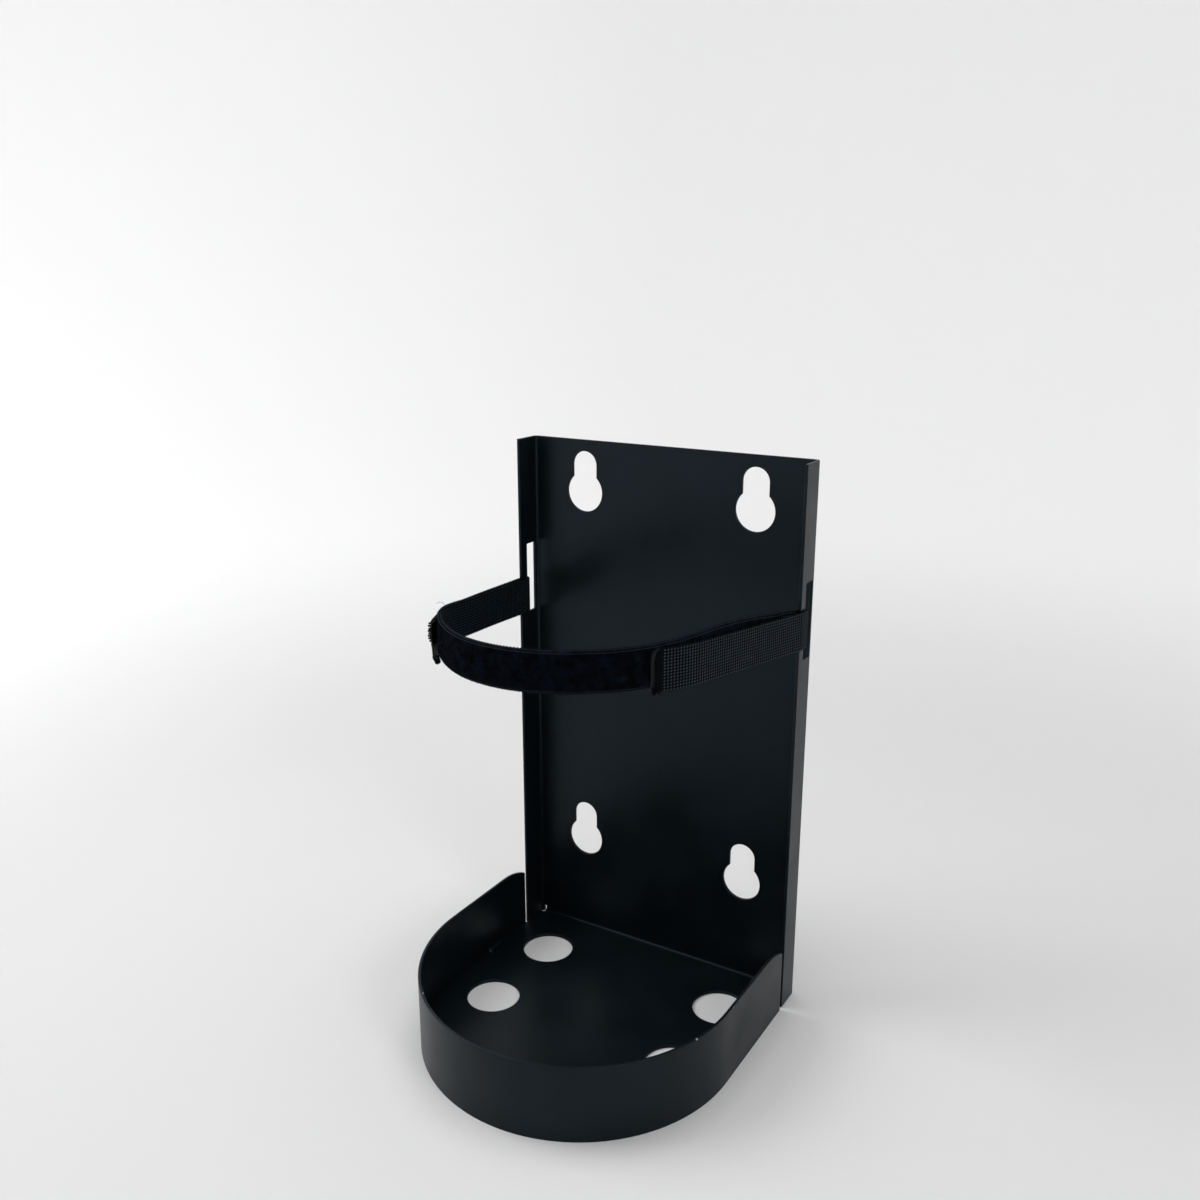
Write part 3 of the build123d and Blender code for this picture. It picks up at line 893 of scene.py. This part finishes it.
open_from, open_to = -lap_starts - OPEN_LEFT, lap_starts + OPEN_RIGHT
last = tape_end - TAPE_TIP
shown = pile_loops(LOOPS_SHOWN, open_from, open_to)
under_left = pile_loops(LOOPS_UNDER_LAPS // 2, -last, open_from)
under_right = pile_loops(LOOPS_UNDER_LAPS // 2, open_to, last)
under = np.concatenate((under_left, under_right))
under[:, :, 2] = np.minimum(under[:, :, 2], FACE + LOOP_TAPE - FIBRE)
loops = np.concatenate((shown, under))
on_right = loops[:, 0, 0] >= 0
for name, half in (("pile_loops_right", on_right), ("pile_loops_left", ~on_right)):
    piece = thread_piece(name, loops[half], FIBRE, 3, pile_nylon, "loop_pile")
    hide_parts("loop_tape")

# %% [markdown]
# ## Stitches and fuzz
# A row of short stitches runs along each selvage, and fine broken fibres stick out past the
# edges, more of them below. Both are tubes again, the stitches arched a little.

# %% Selvage stitches
STITCH = 1.25  # mm from one stitch to the next
DASH, DASH_RADIUS = 0.7, 0.15  # mm of thread that show in each, and its radius
DASH_BASE, DASH_ARCH = 0.66, 0.2  # mm, how far a stitch is over the face, and its arch
SEAM = 0.72  # where the seam lies on the selvage, as a share of its width from the edge
UNEVEN_ALONG, UNEVEN_ACROSS = 0.06, 0.03  # mm
marks_along = np.arange(-last, last, STITCH)
dashes = []
for edge_side in (-1, 1):
    for mark in marks_along + dice.uniform(-UNEVEN_ALONG, UNEVEN_ALONG, len(marks_along)):
        v = edge_side * (TAPE_HALF - SELVAGE * SEAM + dice.normal(0, UNEVEN_ACROSS))
        dash = []
        for t in (0, 0.2, 0.5, 0.8, 1):
            height = FACE + DASH_BASE + DASH_ARCH * math.sin(math.pi * t)
            dash.append((mark + DASH * (t - 0.5), v, height))
        dashes.append(dash)
stitches = thread_piece("selvage_stitches", dashes, DASH_RADIUS, 5, thread_nylon, "loop_pile")
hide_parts("loop_tape")

# %% Fuzz on the tape's edges
FUZZ, FUZZ_BELOW = 420, 0.65  # how many fibres, and the share of them on the lower edge
FUZZ_LENGTH, FUZZ_DRIFT, FUZZ_RADIUS = (0.3, 0.9), 0.35, 0.045  # mm
FUZZ_ROOT, FUZZ_HEIGHT = 0.2, 0.5  # mm inside the edge, and over the face
ALONG_FIBRE = (0, 0.4, 0.75, 1)
fuzz = []
for _ in range(FUZZ):
    edge_side = -1 if dice.random() < FUZZ_BELOW else 1
    s0 = dice.uniform(-tape_end, tape_end)
    length = dice.uniform(*FUZZ_LENGTH)
    drift = dice.normal(0, FUZZ_DRIFT, 2)
    fibre = []
    for t in ALONG_FIBRE:
        v = edge_side * (TAPE_HALF - FUZZ_ROOT + length * t)
        fibre.append((s0 + drift[0] * t**2, v, FACE + FUZZ_HEIGHT + drift[1] * t))
    fuzz.append(fibre)
edge_fuzz = thread_piece("edge_fuzz", fuzz, FUZZ_RADIUS, 3, pile_nylon, "loop_pile")
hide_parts("loop_tape")

# %% [markdown]
# ## Hook tapes
# The stiff half of the fastener is a woven nylon tape set with rows of small stiff hooks.
# It is sewn inside each lap and reaches a little past the webbing's cut end, where its plain
# back shows as a thin lighter rim. A closed strip makes the tape, and each hook is a tube.

# %% Hook tape material
TAPE_YARN, TAPE_DEPTH = 0.5, 0.08  # mm, the tape's weave and how deep it is
hook_nylon, tree, shader, spot = new_material(
    "moulded_nylon_hooks", Roughness=0.42, IOR=1.53, Specular_IOR_Level=0.1
)
tape_weave = add_node(
    tree, "TexNoise", {"Scale": 1000 / TAPE_YARN, "Detail": 2.0}, {"Vector": spot}
)
tape_tone = add_node(
    tree, "Mix", {"data_type": "RGBA", 6: linear("#080a0d"), 7: linear("#14181d")},
    {"Factor": tape_weave.outputs["Fac"]}
)
tape_bump = add_node(
    tree, "Bump", {"Strength": 0.5, "Distance": TAPE_DEPTH * MM},
    {"Height": tape_weave.outputs["Fac"]}
)
wire(tree, shader, Base_Color=tape_tone.outputs[2], Normal=tape_bump.outputs["Normal"])
print("material:", hook_nylon.name)

# %% Rows of hooks, in mm
HOOK_ROW, HOOK_COLUMN, HOOK_RADIUS = 1.5, 1.42, 0.085
HOOK_ROOT = 0.38  # over the face, a little inside the tape
HOOK_SHAPE = ((0, 0), (0, 0.3), (0.12, 0.5), (0.3, 0.5), (0.38, 0.3))  # along and up
HOOK_EDGE, HOOK_UNEVEN = 0.3, 0.04
FIRST_ROW, LAST_ROW, FIRST_COLUMN = 0.6, 0.8, 0.35  # inside the tape, past the webbing, in
BARE_CORNER = (3.2, 3.4)  # no hooks where the tape's upper corner is rounded off


def hook_lines(side, start, webbing_end, tape_stop):
    """Centre lines of all hooks on one tape, in rows that face one way and the other."""
    hooks = []
    rows = np.arange(start + FIRST_ROW, webbing_end + LAST_ROW, HOOK_ROW)
    for i, row in enumerate(rows):
        way = 1 if i % 2 else -1
        for column in np.arange(-TAPE_HALF + FIRST_COLUMN, TAPE_HALF, HOOK_COLUMN):
            rounded_off = tape_stop - row < BARE_CORNER[0] and column > TAPE_HALF - BARE_CORNER[1]
            if abs(column) > TAPE_HALF - HOOK_EDGE or rounded_off:
                continue
            here = side * (row + dice.normal(0, HOOK_UNEVEN))
            root = FACE + HOOK_ROOT
            hooks.append([(here + way * along, column, root + up) for along, up in HOOK_SHAPE])
    return hooks


print("hooks to a square centimetre:", round(100 / HOOK_ROW / HOOK_COLUMN))

# %% The two hook tapes
HOOK_LENGTH = 34.0  # mm, straight part of a hook tape
PEEK = 2.1  # mm that show past the webbing's end
TAPE_TOP, TAPE_SUNK = 0.42, 0.12  # mm over the webbing's face, and into it
TAPE_RINGS, TAPE_SAMPLES = 200, 21
for side, marks, name in ((1, right, "right"), (-1, left, "left")):
    start, end = marks["lap_touch"] - HOOK_LENGTH, marks["end"] + PEEK
    d = np.linspace(start, end, TAPE_RINGS)
    low = -TAPE_HALF + corner_cut(end - d, LOW_CORNER)
    high = TAPE_HALF - corner_cut(end - d, HIGH_CORNER)
    dice.normal(size=TAPE_RINGS)  # not used, but every later thread depends on this draw
    s = side * d
    if side < 0:
        s, low, high = s[::-1], low[::-1], high[::-1]
    top = np.full((TAPE_RINGS, TAPE_SAMPLES), FACE + TAPE_TOP)
    points, faces = strip(s, low, high, top, FACE - TAPE_SUNK)
    tape = new_piece(f"hook_tape_base_{name}", points, faces, hook_nylon, "hook_tape")
    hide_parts(f"hook_tape_{name}")
    hooks = hook_lines(side, start, marks["end"], end)
    piece = thread_piece(f"hooks_{name}", hooks, HOOK_RADIUS, 3, hook_nylon, "hook_tape")
    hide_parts(f"hook_tape_{name}")

# %% [markdown]
# ## Frayed ends
# Heat seals a cut strap, but yarns still work loose at its corners. Each is a short bent
# tube that starts inside the weave and sticks out past the cut. Where they have curled up,
# they are wound into a small tangle.

# %% Single frayed yarns and tangles, in mm
frays = []
FRAY_RADIUS = 0.17
FRAY_ROOT = 0.5  # inside the cut
FRAY_DRIFT, FRAY_TURN_OUT = 0.25, 0.3
CURL_SIZE, CURL_SWEEP, CURL_TILT = (0.4, 1.0), (1.6, 3.4), 0.8  # share, radians, mm
ALONG_YARN = (0, 0.35, 0.7, 1)


def fray(side, marks, count, low, high, length, droop):
    """Loose yarn ends at a lap's cut, between two heights on it."""
    for _ in range(count):
        v0 = dice.uniform(low, high)
        reach = dice.uniform(*length)
        d0 = marks["end"] - FRAY_ROOT
        drift, turn_out = dice.normal(0, FRAY_DRIFT), dice.normal(0, FRAY_TURN_OUT)
        frays.append(
            [
                (side * (d0 + reach * t), v0 + drift * t**2 - droop * t**2, turn_out * t**2)
                for t in ALONG_YARN
            ]
        )


def tangle(count, d, v, offset, side, size):
    """Curled yarns wound into a small ball at one place of the strap."""
    for _ in range(count):
        start, turn = dice.uniform(0, 2 * math.pi, 2)
        curl = size * dice.uniform(*CURL_SIZE)
        sweep, tilt = dice.uniform(*CURL_SWEEP), dice.uniform(-CURL_TILT, CURL_TILT)
        yarn = []
        for t in ALONG_YARN:
            up, across = curl * math.sin(start + sweep * t), math.cos(start + sweep * t)
            s = side * d + curl * math.cos(turn) * across
            yarn.append((s, v + up, offset + curl * math.sin(turn) * across + tilt * t))
        frays.append(yarn)


print("frayed yarns are", 2 * FRAY_RADIUS, "mm thick")

# %% Frayed corners of both laps, in mm
# side, marks, how many, from and to which height, how long, how far they droop
fray(1, right, 26, -HALF_STRAP - 0.2, -HALF_STRAP + 3.0, (0.9, 2.4), 1.3)
fray(1, right, 8, -HALF_STRAP + 3.0, HALF_STRAP - 3.5, (0.7, 1.1), 0.1)
fray(-1, left, 26, -HALF_STRAP + 1.0, HALF_STRAP - 3.5, (0.7, 1.3), 0.1)
# how many, distance along the lap, height, distance off it, side, size
tangle(64, left["end"] - 2.5, -HALF_STRAP - 0.9, 1.5, -1, 1.55)
tangle(24, left["end"] - 4.5, -HALF_STRAP + 0.6, 2.0, -1, 1.2)
tangle(26, right["end"] + 0.4, -HALF_STRAP - 0.1, 0.2, 1, 1.0)
tangle(14, right["end"] - 1.9, -HALF_STRAP - 0.3, -0.1, 1, 0.7)
frayed = thread_piece("frayed_yarns", frays, FRAY_RADIUS, 5, pile_nylon, "webbing")
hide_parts("strap_webbing")

# %% [markdown]
# ## Sprung warp ends and a pulled fibre
# At the left cut the heat has let go of some thick warp ends, which spring outward along
# its upper half. One fine fibre has pulled out of the loop tape's top edge. Small faults
# like these make a strap look used, and each is one more tube.

# %% Warp ends and the pulled fibre, in mm
STUB_OUT = (0.3, 0.8, 0.5, 1.0, 0.6, 1.1, 0.9, 0.4)  # how far each springs outward
STUB_STEP, STUB_RADIUS = 1.35, 0.55
STUB_TOP, STUB_ROOT, STUB_RISE, STUB_INSIDE = 1.0, 0.9, 0.3, 0.2
STUB_UNEVEN = 0.25
stubs = []
for k, out in enumerate(STUB_OUT):
    v0 = HALF_STRAP - STUB_TOP - k * STUB_STEP + dice.uniform(-STUB_UNEVEN, STUB_UNEVEN)
    stub = []
    for t in ALONG_FIBRE:
        stub.append((-(left["end"] - STUB_ROOT + t), v0 + STUB_RISE * t, -STUB_INSIDE - out * t))
    stubs.append(stub)
warp_ends = thread_piece("sprung_warp_ends", stubs, STUB_RADIUS, 7, pile_nylon, "webbing")
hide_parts("strap_webbing")

PULLED_RADIUS = 0.1
pulled = [[(-84, 10.4, 1.0), (-84.3, 11.5, 2.3), (-83.6, 11.6, 3.8), (-83, 10.9, 5.0)]]
pulled_fibre = thread_piece("pulled_fibre", pulled, PULLED_RADIUS, 5, thread_nylon, "loop_pile")
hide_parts("loop_tape")

# %% [markdown]
# ## Floor and backdrop
# The bracket stands on a plain pale floor that curves up into a round backdrop, a cove, so
# there is no horizon. A profile turned round the middle serves a camera on any side.

# %% A round cove
COVE_RADIUS, COVE_TURN, COVE_TOP = 1.7, 0.7, 2.4  # metres
FLOOR_RINGS = (0.3, 0.7, COVE_RADIUS - COVE_TURN)  # metres from the middle
TURN_RINGS, SPOKES = 16, 96
profile = [(r, 0.0) for r in FLOOR_RINGS]
for a in np.linspace(0, math.pi / 2, TURN_RINGS + 1)[1:]:
    r = COVE_RADIUS - COVE_TURN + COVE_TURN * math.sin(a)
    profile.append((r, COVE_TURN - COVE_TURN * math.cos(a)))
profile.append((COVE_RADIUS, COVE_TOP))
spokes = [2 * math.pi * k / SPOKES for k in range(SPOKES)]
cove_points = [(r * math.cos(a), r * math.sin(a), z) for r, z in profile for a in spokes]
cove_points.append((0.0, 0.0, 0.0))
cove_faces = []
for i in range(0, (len(profile) - 1) * SPOKES, SPOKES):
    for k in range(SPOKES):
        next_k = (k + 1) % SPOKES
        cove_faces.append((i + k, i + next_k, i + SPOKES + next_k, i + SPOKES + k))
cove_faces += [(len(cove_points) - 1, (k + 1) % SPOKES, k) for k in range(SPOKES)]
cove_mesh = bpy.data.meshes.new("cove")
cove_mesh.from_pydata(cove_points, [], cove_faces)
cove_mesh.shade_smooth()
cove = bpy.data.objects.new("cove", cove_mesh)
bpy.context.scene.collection.objects.link(cove)
print("the cove has", len(cove_faces), "faces")

# %% [markdown]
# ## Paper that glows far away
# The cove is matt seamless paper, which only scatters light. Far from the object it glows a
# little, only to the camera and in reflections and glass, so that the backdrop is near white
# and no more light falls on the object. Brighter lamps would wash out the black coat.

# %% Paper
NEAR, FAR = 0.42, 1.25  # metres from the middle that the glow starts and is full at
GLOW, GLOW_LEFT = 0.23, 0.13  # its strength, and what is added towards the left
GLOW_FLAT = 0.7  # height counts for less than distance along the floor
TOWARDS_LEFT = (-0.856, -0.517, 0)  # in the scene, at a right angle to the first view
paper, tree, shader, spot = new_material(
    "matt_seamless_paper", Base_Color=linear("#e2e2e2"), Roughness=0.9, IOR=1.45,
    Specular_IOR_Level=0.1, Emission_Color=linear("#ffffff")
)
level = add_node(tree, "VectorMath", {"operation": "MULTIPLY", 1: (1, 1, GLOW_FLAT)}, {0: spot})
distance = add_node(tree, "VectorMath", {"operation": "LENGTH"}, {0: level.outputs[0]})
leftward = add_node(tree, "VectorMath", {"operation": "DOT_PRODUCT", 1: TOWARDS_LEFT}, {0: spot})
away = add_node(
    tree, "MapRange", {"interpolation_type": "SMOOTHSTEP", "From Min": NEAR, "From Max": FAR},
    {"Value": distance.outputs["Value"]}
)
glow = add_node(
    tree,
    "MapRange",
    {"From Min": -0.1, "From Max": 1.0, "To Min": GLOW, "To Max": GLOW + GLOW_LEFT},
    {"Value": leftward.outputs["Value"]},
)
path = add_node(tree, "LightPath")
seen = path.outputs["Is Camera Ray"]
for ray in ("Is Glossy Ray", "Is Transmission Ray"):
    seen = add_node(
        tree, "Math", {"operation": "MAXIMUM"}, {0: seen, 1: path.outputs[ray]}
    ).outputs[0]
strength = glow.outputs["Result"]
for factor in (away.outputs["Result"], seen):
    strength = add_node(
        tree, "Math", {"operation": "MULTIPLY"}, {0: strength, 1: factor}
    ).outputs[0]
wire(tree, shader, Emission_Strength=strength)
cove_mesh.materials.append(paper)
cove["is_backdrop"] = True
print("material:", paper.name)

# %% [markdown]
# ## Light
# Large soft lamps overhead and at the sides give broad reflections, which is what shows that
# a black part is satin. A plain pale world fills the shadows.

# %% World and lamps
world = bpy.data.worlds.new("studio")
bpy.context.scene.world = world
world.use_nodes = True
world.node_tree.nodes["Background"].inputs["Color"].default_value = linear("#f5f5f6")
world.node_tree.nodes["Background"].inputs["Strength"].default_value = 0.5


def soft_lamp(name, at_place, towards, size, watts):
    """A round lamp, its place and size in metres."""
    lamp = bpy.data.lights.new(name, "AREA")
    lamp.shape, lamp.size, lamp.energy = "DISK", size, watts
    holder = bpy.data.objects.new(name, lamp)
    holder.location = at_place
    aim = Vector(towards) - Vector(at_place)
    holder.rotation_euler = aim.to_track_quat("-Z", "Y").to_euler()
    bpy.context.scene.collection.objects.link(holder)


soft_lamp("overhead", (0.0, 0.2, 1.65), (0, 0, 0.1), 1.1, 7.2)
soft_lamp("window", (-1.1, -0.35, 1.15), (0, 0, 0.15), 1.0, 10.6)
soft_lamp("fill", (1.2, -0.5, 0.9), (0, 0, 0.15), 0.45, 3.3)
print("lamps:", [light.name for light in bpy.data.lights])

# %% [markdown]
# ## Camera
# The camera stands in front of the bracket's right side, a little above the strap, and
# looks down on the tray. Its lens is short, because it stands close.

# %% Camera
EYE = (0.293155, -0.470360, 0.403607)  # metres
TILT_DOWN, TURN_LEFT = 15.938, 31.096  # degrees
camera = bpy.data.cameras.new("camera")
camera.lens, camera.sensor_width = 34.666, 36.0
camera.clip_start, camera.clip_end = 0.01, 20.0
eye = bpy.data.objects.new("camera", camera)
eye.location = EYE
eye.rotation_euler = (math.radians(90 - TILT_DOWN), 0, math.radians(TURN_LEFT))
bpy.context.scene.collection.objects.link(eye)
bpy.context.scene.camera = eye
bpy.context.scene.view_settings.view_transform = "Standard"
print("the camera is", round(Vector(EYE).length, 2), "m from the bracket's foot")

# %% Print the two boxes and finish
new_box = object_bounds()
for axis, label in enumerate("XYZ"):
    sizes = [[round(corner[axis] * 1000, 1) for corner in box] for box in (cad_box, new_box)]
    print(label, "CAD", sizes[0], "scene", sizes[1])
